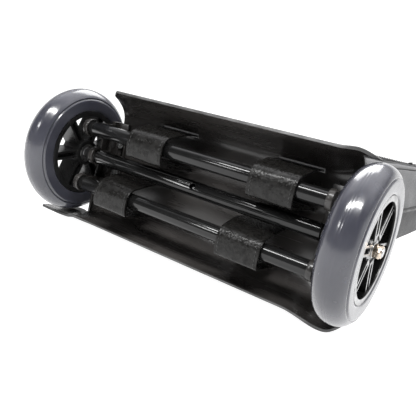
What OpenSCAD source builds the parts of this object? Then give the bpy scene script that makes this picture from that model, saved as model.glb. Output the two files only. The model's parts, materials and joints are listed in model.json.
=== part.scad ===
// Two-wheeled pet stroller, lying on its back: wheel base, soft carrier and telescopic handle.
// The axle runs along X. The open side of the base looks along -Y, the carrier lies along +Y.
// The floor is z = 0, and the origin is the middle of the footprint.

/* [Wheels] */
// Outer diameter of a tyre
tyre_d = 150; // [140:1:152]
// Width of a tyre
tyre_w = 33; // [28:0.5:34]
// Radius of the tyre's rounded shoulders
shoulder_r = 13; // [8:0.5:13]
// Diameter of the seat between tyre and rim
rim_d = 101; // [98:0.5:104]
// Width of the rim ring
rim_w = 31; // [26:0.5:31]
// Distance between the middle planes of the two wheels
track = 362.6; // [360:0.2:366]
// Number of spokes in a wheel
spoke_count = 6; // [5:1:7]
// Width of one spoke, across both of its ribs
spoke_w = 10; // [8:0.5:12]
// Turn of the left wheel about its axle at rest
left_spoke_turn = 20; // [0:1:60]
// Turn of the right wheel about its axle at rest
right_spoke_turn = 34; // [0:1:60]

/* [Axle and tubes] */
// Diameter of the steel axle
axle_d = 8; // [7:0.5:8]
// Diameter of the tube around the axle
axle_tube_d = 17.2; // [16:0.1:18]
// Length of the tube around the axle
axle_tube_len = 292; // [270:1:293]
// Diameter of the hole drilled in the middle of that tube
drain_hole_d = 7; // [4:0.5:8]
// Diameter of a side tube
side_tube_d = 16.7; // [15:0.1:17.5]
// Wall of all three tubes
tube_wall = 1.5; // [1:0.1:2]
// Height of each side tube above or below the axle
side_tube_offset = 33; // [31:0.5:35]
// How far the side tubes stand in front of the axle
side_tube_forward = 15.6; // [12:0.2:17]

/* [Base shell] */
// Half of the trough's height between its straight lips
lip_half = 80; // [79:0.5:82]
// How far the lips stand in front of the axle
lip_forward = 8; // [4:0.5:12]
// Depth of the trough's floor behind the axle
floor_depth = 34; // [32:0.5:38]
// Wall of the shell
shell_wall = 2.6; // [2:0.1:3.5]
// How far the corners flare outwards over the wheels
corner_flare = 5.5; // [3:0.5:7]
// Half of the shell's length, over the corners
shell_half_len = 188; // [182:1:192]
// Length of the shell's left half at the upper corner, which is cut back in front of the wheel
upper_left_len = 146; // [144:1:160]
// Radius of that corner
upper_left_r = 24; // [16:1:28]

/* [Straps] */
// Width of a strap along its tube
strap_w = 48; // [40:1:50]
// Thickness of the strap
strap_t = 2.2; // [1.6:0.2:3]
// Distance from the tube's middle to each foot of the loop
strap_reach = 20; // [18:0.5:22]

/* [Carrier] */
// Width of the soft carrier
carrier_w = 320; // [300:2:320]
// Height of the carrier in use, from base to top end
carrier_len = 430; // [400:5:430]
// Level of the carrier's back panel over the floor
carrier_low = 50; // [50:0.5:52]
// Level of the carrier's front face over the floor
carrier_high = 160; // [158:0.5:162]
// Thickness of its padded panels
panel_t = 6; // [4:0.5:7]
// Width of the front door
door_w = 246; // [220:2:250]
// Length of the front door
door_len = 356; // [320:2:356]

/* [Handle] */
// Distance between the two handle rails
rail_spacing = 170; // [160:2:176]
// Outer diameter of a rail
rail_d = 19; // [18:0.5:20]
// Outer diameter of the sliding tube
slide_tube_d = 15.8; // [15:0.1:16]
// Level of the rails over the floor
rail_level = 33; // [32:0.5:34]
// Diameter of the grip
grip_d = 24; // [22:1:26]
// Travel of the release button
button_travel = 4; // [2:0.5:5]

/* [Hidden] */

round_fn = 72;
wheel_fn = 120;
hull_fn = 32;
tyre_r = tyre_d / 2;
rim_r = rim_d / 2;
wheel_x = track / 2;
bearing_r = 11;
bearing_w = 7;
hub_r = 15;
hub_out = 11.5;
hub_in = 16;
turn_gap = 0.03;
bracket_out = 154;
bracket_w = 6;
bracket_foot = 14;
bracket_root = -floor_depth + shell_wall / 2 + 0.4;
screw_up = 17;
lug_r = side_tube_d / 2 + 2;
axle_half = wheel_x + 21;
flare_start = 128;
flare_top = 172;
well_r = tyre_r + 4.5;
well_start = 160;
end_wall_x = 155;
carrier_start = 54;
carrier_end = carrier_start + carrier_len;
rail_start = 46;
rail_end = 470;
grip_y = 509;
grip_half = 97;
button_out = 2.5;
button_half = 17;
button_h = 11;
foot_h = 9;
object_len = tyre_r + grip_y + grip_d / 2 + button_out;
axle_y = tyre_r - object_len / 2;
axle_z = lip_half + corner_flare + shell_wall / 2;
door_start = 84;
strap_x = [-57, 96, -90, 78];

// Frame of the wheel base: local X along the axle, local Y up, local Z out of the open side
module base_frame() { translate([0, axle_y, axle_z]) rotate([90, 0, 0]) children(); }
// A shape drawn in the wheel base's side view (Y up, Z out) and given a length along X
module along_x(x0, len) {
    base_frame() translate([x0, 0, 0]) rotate([90, 0, 90]) linear_extrude(len) children();
}
// A round bar along the axle's direction, drawn at a height and a distance in front of the axle
module bar_x(x0, len, r, up = 0, out = 0, fn = round_fn) {
    base_frame() translate([x0, up, out]) rotate([0, 90, 0]) cylinder(h = len, r = r, $fn = fn);
}
// Frame of one wheel: local Z along the axle, pointing away from the middle of the stroller
module wheel_frame(side) {
    base_frame() translate([side * wheel_x, 0, 0]) rotate([0, side * 90, 0]) children();
}

// ---------- wheels ----------
module tyre(side) {
    straight = tyre_w / 2 - shoulder_r;
    color("slategray") wheel_frame(side) rotate_extrude($fn = wheel_fn) difference() {
        union() {
            translate([rim_r, -tyre_w / 2]) square([tyre_r - shoulder_r - rim_r, tyre_w]);
            translate([rim_r, -straight]) square([tyre_r - rim_r, 2 * straight]);
            for (s = [-1, 1]) translate([tyre_r - shoulder_r, s * straight])
                circle(r = shoulder_r, $fn = 48);
        }
        for (s = [-1, 1]) translate([rim_r + 5, s * tyre_w / 2]) circle(r = 0.7, $fn = 16);
        translate([rim_r - 10, -tyre_w / 2]) square([10, tyre_w]);
    }
}

module spoke() {
    channel_w = spoke_w - 5;
    channel_d = 8;
    difference() {
        translate([hub_r - 3, -spoke_w / 2, -13]) cube([rim_r - hub_r, spoke_w, 26]);
        for (s = [-1, 1]) translate([hub_r + 3, 0, s > 0 ? 13 - channel_d : -13])
            union() {
                translate([0, -channel_w / 2, 0]) cube([rim_r - hub_r - 8, channel_w, channel_d]);
                cylinder(h = channel_d, r = channel_w / 2, $fn = hull_fn);
            }
    }
}

module rim(side, turn) {
    color([0.06, 0.06, 0.07]) wheel_frame(side) difference() {
        union() {
            rotate_extrude($fn = wheel_fn) {
                translate([rim_r - 4, -rim_w / 2]) square([4, rim_w]);
                translate([rim_r - 5.5, -rim_w / 2]) square([3, 3]);
                translate([rim_r - 5.5, rim_w / 2 - 3]) square([3, 3]);
            }
            translate([0, 0, -hub_in]) cylinder(h = hub_in + hub_out, r = hub_r, $fn = round_fn);
            for (i = [0:spoke_count - 1]) rotate([0, 0, 90 - side * turn + i * 360 / spoke_count])
                spoke();
        }
        translate([0, 0, -hub_in - 1]) cylinder(h = 60, r = 7, $fn = round_fn);
        translate([0, 0, hub_out - bearing_w]) cylinder(h = 20, r = bearing_r, $fn = round_fn);
        translate([0, 0, -hub_in - 1]) cylinder(h = bearing_w + 1, r = bearing_r, $fn = round_fn);
    }
}

module bearing() {
    rotate_extrude($fn = round_fn) {
        bore_r = axle_d / 2 + turn_gap;
        translate([bore_r, 0]) square([2.2, bearing_w]);
        translate([bore_r + 2, 0.6]) square([bearing_r - bore_r - 4, bearing_w - 1.2]);
        translate([bearing_r - 2.2, 0]) square([2.2, bearing_w]);
    }
}

module bearings(side) {
    color("silver") wheel_frame(side) {
        translate([0, 0, hub_out - bearing_w]) bearing();
        translate([0, 0, -hub_in]) bearing();
    }
}

// ---------- axle and tubes ----------
module axle_rod() { color("silver") bar_x(-axle_half, 2 * axle_half, axle_d / 2); }

module tube_x(half_len, d, up, out) {
    difference() {
        bar_x(-half_len, 2 * half_len, d / 2, up, out);
        bar_x(-half_len - 1, 2 * half_len + 2, d / 2 - tube_wall, up, out);
    }
}

module axle_tube() {
    color([0.05, 0.05, 0.06]) difference() {
        tube_x(axle_tube_len / 2, axle_tube_d, 0, 0);
        base_frame() rotate([-25, 0, 0]) cylinder(h = axle_tube_d, r = drain_hole_d / 2, $fn = 48);
    }
}

module side_tube(s) {
    color([0.05, 0.05, 0.06])
        tube_x(bracket_out - 1, side_tube_d, s * side_tube_offset, side_tube_forward);
}

module spacer(side) {
    x_in = axle_tube_len / 2 - 12;
    x_out = wheel_x - hub_in - 0.3;
    color([0.08, 0.08, 0.09]) base_frame() rotate([0, side * 90, 0]) rotate_extrude($fn = round_fn) {
        translate([axle_d / 2, x_in]) square([2.2, x_out - x_in]);
        translate([axle_d / 2 + 2, axle_tube_len / 2 + 0.2])
            square([0.8, x_out - axle_tube_len / 2 - 2.2]);
        translate([axle_d / 2 + 2, x_in]) square([axle_tube_d / 2 - tube_wall - axle_d / 2 - 2.05, 10]);
    }
}

module washers() {
    color("silver") for (s = [-1, 1]) base_frame() translate([s * wheel_x, 0, 0])
        rotate([0, s * 90, 0]) translate([0, 0, hub_out + 0.4]) difference() {
            cylinder(h = 1.2, r = 7.6, $fn = round_fn);
            translate([0, 0, -1]) cylinder(h = 4, r = axle_d / 2, $fn = round_fn);
        }
}

module axle_nut(side) {
    nut_from = hub_out + 1.6;
    color([0.78, 0.7, 0.62]) wheel_frame(side) difference() {
        union() {
            translate([0, 0, nut_from]) cylinder(h = 6, r = 7, $fn = 6);
            translate([0, 0, nut_from]) cylinder(h = 7.2, r = 5.6, $fn = round_fn);
        }
        translate([0, 0, nut_from - 1]) cylinder(h = 20, r = axle_d / 2, $fn = round_fn);
    }
}

// ---------- end brackets ----------
module lug(up, out) {
    translate([up, out]) circle(r = lug_r, $fn = round_fn);
    translate([up - 7, bracket_root]) square([14, out - bracket_root]);
}

module end_bracket(side) {
    x0 = side > 0 ? bracket_out - bracket_w : -bracket_out;
    foot_x = side > 0 ? x0 - bracket_foot : x0 + bracket_w;
    foot_half = 44;
    color([0.07, 0.07, 0.08]) difference() {
        union() {
            along_x(x0, bracket_w) {
                for (s = [-1, 1]) lug(s * side_tube_offset, side_tube_forward);
                lug(0, 0);
                translate([-foot_half, bracket_root]) square([2 * foot_half, 12]);
            }
            along_x(foot_x, bracket_foot) translate([-foot_half, bracket_root])
                square([2 * foot_half, 3]);
        }
        for (s = [-1, 1])
            bar_x(-200, 400, side_tube_d / 2, s * side_tube_offset, side_tube_forward);
        bar_x(-200, 400, axle_d / 2 + 2.85);
        for (s = [-1, 1])
            base_frame() translate([foot_x + bracket_foot / 2, s * screw_up, bracket_root - 1])
                cylinder(h = 6, r = 2.2, $fn = hull_fn);
    }
}

module tube_plugs() {
    color("black") for (s = [-1, 1], side = [-1, 1]) {
        x0 = side > 0 ? bracket_out - 9 : -bracket_out + 1;
        bar_x(x0, 8, side_tube_d / 2 - tube_wall, s * side_tube_offset, side_tube_forward);
        bar_x(side > 0 ? x0 + 8 : x0 - 1.2, 1.2, side_tube_d / 2, s * side_tube_offset,
            side_tube_forward);
    }
}

module bracket_screws() {
    screw_x = bracket_out - bracket_w - bracket_foot / 2;
    color("silver") for (side = [-1, 1], s = [-1, 1])
        base_frame() translate([side * screw_x, s * screw_up, bracket_root + 3]) {
            difference() {
                cylinder(h = 2.2, r = 4.2, $fn = round_fn);
                translate([0, 0, 1]) cylinder(h = 2, r = 1.6, $fn = 6);
            }
            translate([0, 0, -3]) cylinder(h = 3, r = 2.2, $fn = hull_fn);
        }
}

// ---------- base shell ----------
function smooth(t) = let (u = min(max(t, 0), 1)) u * u * (3 - 2 * u);
function bezier(a, b, c, d, t) = let (u = 1 - t)
    u * u * u * a + 3 * u * u * t * b + 3 * u * t * t * c + t * t * t * d;
// Grows from 0 to 1 between a distance from the middle and the tip of that corner
function near_tip(x, from) = pow(max(abs(x) - from, 0) / (shell_half_len - from), 2);
// Outward flare of the lower lip, and of the upper lip, whose flare is smaller and shorter
function flare_low(x) = corner_flare * smooth((abs(x) - flare_start) / (flare_top - flare_start))
    - 12 * near_tip(x, flare_top);
function flare_high(x) = 3.2 * smooth((abs(x) - 140) / 18) - 12 * near_tip(x, 160);
// The lips fall back towards the tips of the corners
function lip_out(x) = lip_forward - 14 * near_tip(x, 162);
function bulge(x) = 6 * smooth((abs(x) - flare_start) / 34);
// Half of the section, from the middle of the floor (t = 0) to the lip (t = 1), as [up, out]
floor_share = 0.25;
floor_half = 44;
function half_section(t, x, high) = t < floor_share
    ? [floor_half * t / floor_share, -floor_depth]
    : bezier([floor_half, -floor_depth], [lip_half - 16, -floor_depth],
        [lip_half - 13 + 2 * bulge(x), -13 - bulge(x)],
        [lip_half + (high ? flare_high(x) : flare_low(x)), lip_out(x)],
        (t - floor_share) / (1 - floor_share));
function section(t, x) = let (h = half_section(abs(t), x, t > 0)) t < 0 ? [-h[0], h[1]] : h;
function section_normal(t, x) = let (
        d = section(min(t + 0.01, 1), x) - section(max(t - 0.01, -1), x), n = norm(d))
    [d[1] / n, -d[0] / n];
section_steps = 40;
function section_t(i) = -1 + 2 * i / section_steps;
function section_ring(x) = concat(
    [for (i = [0:section_steps]) let (t = section_t(i))
        section(t, x) + shell_wall / 2 * section_normal(t, x)],
    [for (i = [section_steps:-1:0]) let (t = section_t(i))
        section(t, x) - shell_wall / 2 * section_normal(t, x)]);
flare_steps = 9;
function station(j) = let (step = (shell_half_len - flare_start + 4) / flare_steps)
    j <= flare_steps ? -shell_half_len + j * step
        : shell_half_len - (2 * flare_steps + 1 - j) * step;

module shell_skin() {
    rings = 2 * flare_steps + 2;
    n = 2 * (section_steps + 1);
    points = [for (j = [0:rings - 1]) let (x = station(j)) for (p = section_ring(x))
        [x, axle_y - p[1], axle_z + p[0]]];
    faces = concat(
        [[for (i = [0:n - 1]) i]],
        [[for (i = [n - 1:-1:0]) (rings - 1) * n + i]],
        [for (j = [0:rings - 2], i = [0:n - 1]) let (k = (i + 1) % n)
            [j * n + i, (j + 1) * n + i, (j + 1) * n + k, j * n + k]]);
    polyhedron(points = points, faces = faces, convexity = 6);
}

module end_wall(side) {
    wall_top = -11;
    along_x(side > 0 ? end_wall_x : -end_wall_x - shell_wall, shell_wall)
        polygon([for (i = [0:section_steps]) let (p = section(section_t(i), end_wall_x))
            [p[0], min(p[1], wall_top)]]);
}

// What is cut away at the upper left corner, drawn as [along the axle, out]
module upper_left_cut() {
    from_up = 30;
    base_frame() translate([0, 110, 0]) rotate([90, 0, 0]) linear_extrude(110 - from_up)
        polygon(concat([[-250, -70], [-upper_left_len, -70]],
            [for (a = [180:-9:90]) [
                upper_left_r - upper_left_len + upper_left_r * cos(a),
                lip_forward - upper_left_r + (upper_left_r + 2) * sin(a)]],
            [[upper_left_r - upper_left_len, 60], [-250, 60]]));
}

module shell() {
    slot_w = strap_w + 4;
    slot_h = 5;
    color([0.06, 0.06, 0.07]) difference() {
        union() {
            shell_skin();
            for (side = [-1, 1]) end_wall(side);
        }
        for (side = [-1, 1])
            bar_x(side > 0 ? well_start : -well_start - 60, 60, well_r, fn = wheel_fn);
        for (i = [0:3], s = [-1, 1]) {
            tube_up = (i < 2 ? 1 : -1) * side_tube_offset;
            base_frame()
                translate([strap_x[i] - slot_w / 2, tube_up + s * strap_reach - slot_h / 2, -60])
                    cube([slot_w, slot_h, 60 - 20]);
        }
        upper_left_cut();
    }
}

// ---------- straps ----------
module strap(i) {
    up = (i < 2 ? 1 : -1) * side_tube_offset;
    inner_r = side_tube_d / 2 + 0.4;
    foot = -floor_depth + 0.7;
    color([0.09, 0.09, 0.09]) along_x(strap_x[i] - strap_w / 2, strap_w) difference() {
        hull() {
            translate([up, side_tube_forward]) circle(r = inner_r + strap_t, $fn = hull_fn);
            translate([up - strap_reach - strap_t / 2, foot]) square([2 * strap_reach + strap_t, 1]);
        }
        hull() {
            translate([up, side_tube_forward]) circle(r = inner_r, $fn = hull_fn);
            translate([up - strap_reach + strap_t / 2, foot - 1])
                square([2 * strap_reach - strap_t, 1]);
        }
    }
}

// ---------- carrier ----------
// A box given by its low and high corners, with Y counted from the axle
module slab(low, high) {
    translate([low[0], axle_y + low[1], low[2]]) cube(high - low);
}

module carrier_back() {
    color([0.2, 0.2, 0.21]) slab([-carrier_w / 2, carrier_start, carrier_low],
        [carrier_w / 2, carrier_end, carrier_low + panel_t]);
}

module carrier_front() {
    color([0.24, 0.24, 0.25]) difference() {
        slab([-carrier_w / 2, carrier_start, carrier_high - panel_t],
            [carrier_w / 2, carrier_end, carrier_high]);
        slab([-door_w / 2 - 2, door_start, carrier_high - 20],
            [door_w / 2 + 2, door_start + door_len + 4, carrier_high + 20]);
    }
}

module carrier_side(side) {
    x0 = side > 0 ? carrier_w / 2 - panel_t : -carrier_w / 2;
    color([0.22, 0.22, 0.23]) slab([x0, carrier_start, carrier_low + panel_t],
        [x0 + panel_t, carrier_end, carrier_high - panel_t]);
}

module carrier_end_panel(y0) {
    color([0.22, 0.22, 0.23]) slab([-carrier_w / 2 + panel_t, y0, carrier_low + panel_t],
        [carrier_w / 2 - panel_t, y0 + panel_t, carrier_high - panel_t]);
}

module base_board() {
    color("dimgray") slab([-carrier_w / 2 + 8, carrier_start + panel_t + 0.2, carrier_low + 8],
        [carrier_w / 2 - 8, carrier_start + panel_t + 3.2, carrier_high - 8]);
}

module base_cushion() {
    color("gray") slab([-carrier_w / 2 + 10, carrier_start + panel_t + 3.5, carrier_low + 9],
        [carrier_w / 2 - 10, carrier_start + panel_t + 21, carrier_high - 9]);
}

module door_panel() {
    color([0.15, 0.15, 0.16]) slab([-door_w / 2, door_start + 0.6, carrier_high - panel_t],
        [door_w / 2, door_start + door_len, carrier_high]);
}

module zip_slider() {
    tab_y = door_start + door_len - 30;
    x_mid = door_w / 2 + 6.5;
    color("silver") {
        slab([x_mid - 4, tab_y, carrier_high + 0.3], [x_mid + 4, tab_y + 12, carrier_high + 2.6]);
        slab([x_mid - 2.5, tab_y - 16, carrier_high + 0.8],
            [x_mid + 2.5, tab_y + 2, carrier_high + 2.2]);
    }
}

module carry_strap() {
    half = 55;
    rise = 17;
    arc_r = (half * half + rise * rise) / (2 * rise);
    low = 95;
    color([0.1, 0.1, 0.1]) translate([0, axle_y + carrier_end, low]) linear_extrude(25)
        intersection() {
            difference() {
                translate([0, rise - arc_r]) circle(r = arc_r, $fn = 180);
                translate([0, rise - arc_r]) circle(r = arc_r - 2.4, $fn = 180);
            }
            translate([-half - 5, 0]) square([2 * half + 10, rise + 5]);
        }
}

// ---------- handle ----------
// A round bar along Y at one rail, with Y counted from the axle
module bar_y(side, y0, len, r, fn = round_fn) {
    translate([side * rail_spacing / 2, axle_y + y0, rail_level]) rotate([-90, 0, 0])
        cylinder(h = len, r = r, $fn = fn);
}

module rail(side) {
    color([0.1, 0.1, 0.11]) difference() {
        bar_y(side, rail_start, rail_end - rail_start, rail_d / 2);
        bar_y(side, rail_start - 1, rail_end - rail_start + 2, rail_d / 2 - 1.2);
    }
}

module rail_socket(side) {
    color([0.07, 0.07, 0.08]) difference() {
        union() {
            bar_y(side, floor_depth - 6, 36, rail_d / 2 + 4);
            bar_y(side, floor_depth - 6, 10, rail_d / 2 + 8);
        }
        bar_y(side, rail_start, 40, rail_d / 2);
        shell_room(side);
    }
}

// What the shell takes away from a socket, so that the socket sits on the shell's back
module shell_room(side) {
    half = rail_d;
    along_x(side * rail_spacing / 2 - half, 2 * half)
        polygon(concat([for (i = [0:section_steps]) let (t = section_t(i))
            section(t, 0) + (shell_wall / 2 + 0.2) * section_normal(t, 0)]));
}

module rail_bridge() {
    y0 = 438;
    len = 24;
    half = rail_spacing / 2 + 20;
    color([0.07, 0.07, 0.08]) difference() {
        union() {
            slab([-half, y0, 20], [half, y0 + len, carrier_low - 0.3]);
            for (s = [-1, 1]) slab([s * rail_spacing / 2 - 15, y0, foot_h],
                [s * rail_spacing / 2 + 15, y0 + len, 21]);
        }
        for (s = [-1, 1]) bar_y(s, y0 - 1, len + 2, rail_d / 2);
    }
}

module collar(side) {
    color([0.12, 0.12, 0.13]) difference() {
        bar_y(side, rail_end - 6, 18, rail_d / 2 + 3.5);
        bar_y(side, rail_end - 7, 7, rail_d / 2);
        bar_y(side, rail_end - 7, 40, slide_tube_d / 2 + 0.05);
    }
}

module foot(side) {
    color("black") translate([side * rail_spacing / 2, axle_y + 450, 0])
        cylinder(h = foot_h, r = 10, $fn = round_fn);
}

module slide_tube(side) {
    color("silver") difference() {
        bar_y(side, 70, grip_y - 6 - 70, slide_tube_d / 2);
        bar_y(side, 69, grip_y - 60, slide_tube_d / 2 - 1.2);
    }
}

module grip() {
    pocket = 0.3;
    color([0.1, 0.1, 0.1]) difference() {
        union() {
            translate([-grip_half, axle_y + grip_y, rail_level]) rotate([0, 90, 0])
                cylinder(h = 2 * grip_half, r = grip_d / 2, $fn = round_fn);
            for (s = [-1, 1]) {
                translate([s * grip_half, axle_y + grip_y, rail_level])
                    sphere(r = grip_d / 2, $fn = round_fn);
                bar_y(s, 490, grip_y - 490, slide_tube_d / 2 + 3);
            }
        }
        for (s = [-1, 1]) bar_y(s, 480, grip_y - 6 - 480, slide_tube_d / 2);
        slab([-button_half - pocket, grip_y + 2, rail_level - button_h / 2 - pocket],
            [button_half + pocket, grip_y + 30, rail_level + button_h / 2 + pocket]);
    }
}

module release_button() {
    face = grip_y + grip_d / 2 + button_out;
    color([0.35, 0.35, 0.36]) slab([-button_half, grip_y + 2 + button_travel + 0.5,
        rail_level - button_h / 2], [button_half, face, rail_level + button_h / 2]);
}

tyre(-1);  // tyre_left
tyre(1);  // tyre_right
rim(-1, left_spoke_turn);  // rim_left
rim(1, right_spoke_turn);  // rim_right
bearings(-1);  // bearings_left
bearings(1);  // bearings_right
axle_rod();
axle_tube();
side_tube(1);  // side_tube_upper
side_tube(-1);  // side_tube_lower
spacer(-1);  // spacer_left
spacer(1);  // spacer_right
washers();
axle_nut(-1);  // axle_nut_left
axle_nut(1);  // axle_nut_right
end_bracket(-1);  // end_bracket_left
end_bracket(1);  // end_bracket_right
tube_plugs();
bracket_screws();
shell();
strap(0);  // strap_upper_left
strap(1);  // strap_upper_right
strap(2);  // strap_lower_left
strap(3);  // strap_lower_right
carrier_back();
carrier_front();
carrier_side(-1);  // carrier_side_left
carrier_side(1);  // carrier_side_right
carrier_end_panel(carrier_start);  // carrier_base_end
carrier_end_panel(carrier_end - panel_t);  // carrier_top_end
base_board();
base_cushion();
door_panel();
zip_slider();
carry_strap();
rail(-1);  // rail_left
rail(1);  // rail_right
rail_socket(-1);  // rail_socket_left
rail_socket(1);  // rail_socket_right
rail_bridge();
collar(-1);  // collar_left
collar(1);  // collar_right
foot(-1);  // foot_left
foot(1);  // foot_right
slide_tube(-1);  // slide_tube_left
slide_tube(1);  // slide_tube_right
grip();
release_button();
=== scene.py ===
import json
import math

import bmesh
import bpy
from mathutils import Matrix, Vector, noise


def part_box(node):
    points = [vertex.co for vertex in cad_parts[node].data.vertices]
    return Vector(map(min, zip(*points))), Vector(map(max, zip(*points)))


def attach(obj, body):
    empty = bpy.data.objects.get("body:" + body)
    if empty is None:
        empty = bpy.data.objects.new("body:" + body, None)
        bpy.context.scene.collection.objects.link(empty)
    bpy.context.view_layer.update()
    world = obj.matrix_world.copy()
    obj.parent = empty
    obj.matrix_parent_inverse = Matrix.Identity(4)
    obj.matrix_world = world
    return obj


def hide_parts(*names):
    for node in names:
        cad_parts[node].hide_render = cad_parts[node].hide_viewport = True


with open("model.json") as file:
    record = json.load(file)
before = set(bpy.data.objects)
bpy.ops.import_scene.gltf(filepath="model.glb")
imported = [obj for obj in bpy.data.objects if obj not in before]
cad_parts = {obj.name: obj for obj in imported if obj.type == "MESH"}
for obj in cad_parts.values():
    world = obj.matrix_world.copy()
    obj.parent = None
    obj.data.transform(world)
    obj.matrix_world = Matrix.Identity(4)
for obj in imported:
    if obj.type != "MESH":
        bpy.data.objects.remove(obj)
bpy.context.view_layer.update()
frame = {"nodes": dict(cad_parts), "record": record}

# -------------------- places, from the frame
NODES = frame["nodes"]
MM = 0.001


def node_centre(name):
    """The middle of a CAD node's box."""
    low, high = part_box(name)
    return (low + high) / 2


AXLE = node_centre("axle_rod")


def base_point(x, up, out):
    """A point of the wheel base, in millimetres along the axle, up and out of the open side."""
    return Vector((x * MM, AXLE.y - out * MM, AXLE.z + up * MM))


# -------------------- camera, light and floor
# The camera's place from the middle of the axle in metres, its turns in degrees, its lens in millimetres
CAMERA_FROM_AXLE = Vector((0.285, -0.4475, 0.085))
CAMERA_AZIMUTH = 30.6
CAMERA_ELEVATION = 10.84
CAMERA_ROLL = 13.3
CAMERA_LENS = 43.6
# The floor's half width, and how far it lies under the part, in metres
FLOOR_REACH = 6
FLOOR_DROP = 0.0006


def make_camera():
    """The camera, placed so that the render lines up with the photograph."""
    data = bpy.data.cameras.new("camera")
    data.lens = CAMERA_LENS
    camera = bpy.data.objects.new("camera", data)
    bpy.context.scene.collection.objects.link(camera)
    turn = Matrix.Rotation(math.radians(CAMERA_AZIMUTH), 4, "Z")
    tilt = Matrix.Rotation(math.radians(90 - CAMERA_ELEVATION), 4, "X")
    roll = Matrix.Rotation(math.radians(CAMERA_ROLL), 4, "Z")
    camera.matrix_world = Matrix.Translation(AXLE + CAMERA_FROM_AXLE) @ turn @ tilt @ roll
    bpy.context.scene.camera = camera


def area_light(name, azimuth, elevation, distance, size, power):
    """A soft window light, placed around the axle: azimuth 0 is in front of the open side."""
    a, e = math.radians(azimuth), math.radians(elevation)
    away = Vector((math.sin(a) * math.cos(e), -math.cos(a) * math.cos(e), math.sin(e)))
    data = bpy.data.lights.new(name, "AREA")
    data.shape = "RECTANGLE"
    data.size, data.size_y = size
    data.energy = power
    lamp = bpy.data.objects.new(name, data)
    bpy.context.scene.collection.objects.link(lamp)
    lamp.location = AXLE + away * distance
    lamp.rotation_euler = (-away).to_track_quat("-Z", "Y").to_euler()


def sky_light(tree):
    """A bright sweep behind the part, darker above it, with soft light overhead."""
    coords = tree.nodes.new("ShaderNodeTexCoord").outputs["Generated"]
    split = tree.nodes.new("ShaderNodeSeparateXYZ")
    tree.links.new(coords, split.inputs[0])
    ramp = tree.nodes.new("ShaderNodeValToRGB")
    tree.links.new(split.outputs[2], ramp.inputs["Fac"])
    elements = ramp.color_ramp.elements
    elements[0].position = 0.24
    elements[0].color = (1.25, 1.25, 1.25, 1)
    elements[1].position = 0.45
    elements[1].color = (0.25, 0.25, 0.26, 1)
    overhead = elements.new(0.85)
    overhead.color = (1.7, 1.7, 1.75, 1)
    behind = tree.nodes.new("ShaderNodeMapRange")
    behind.inputs["From Min"].default_value = -0.35
    behind.inputs["From Max"].default_value = 0.1
    behind.inputs["To Min"].default_value = 0.12
    tree.links.new(split.outputs[1], behind.inputs["Value"])
    background = tree.nodes["Background"]
    tree.links.new(ramp.outputs["Color"], background.inputs["Color"])
    tree.links.new(behind.outputs["Result"], background.inputs["Strength"])


def make_stage():
    """A white floor, the sky and three soft lights."""
    reach = FLOOR_REACH
    corners = [(-reach, -reach, 0), (reach, -reach, 0), (reach, reach, 0), (-reach, reach, 0)]
    mesh = bpy.data.meshes.new("floor")
    mesh.from_pydata(corners, [], [(0, 1, 2, 3)])
    floor = bpy.data.objects.new("floor", mesh)
    bpy.context.scene.collection.objects.link(floor)
    floor.data.materials.append(floor_material())
    floor.location.z = -FLOOR_DROP
    world = bpy.data.worlds.new("world")
    bpy.context.scene.world = world
    world.use_nodes = True
    sky_light(world.node_tree)
    area_light("window", 8, 57, 1.35, (1.5, 0.2), 26)
    area_light("window_low", -26, 25, 1.5, (0.3, 0.16), 2.4)
    area_light("back", 205, 50, 1.6, (1.2, 0.8), 14)
    bpy.context.scene.view_settings.view_transform = "Standard"


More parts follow.
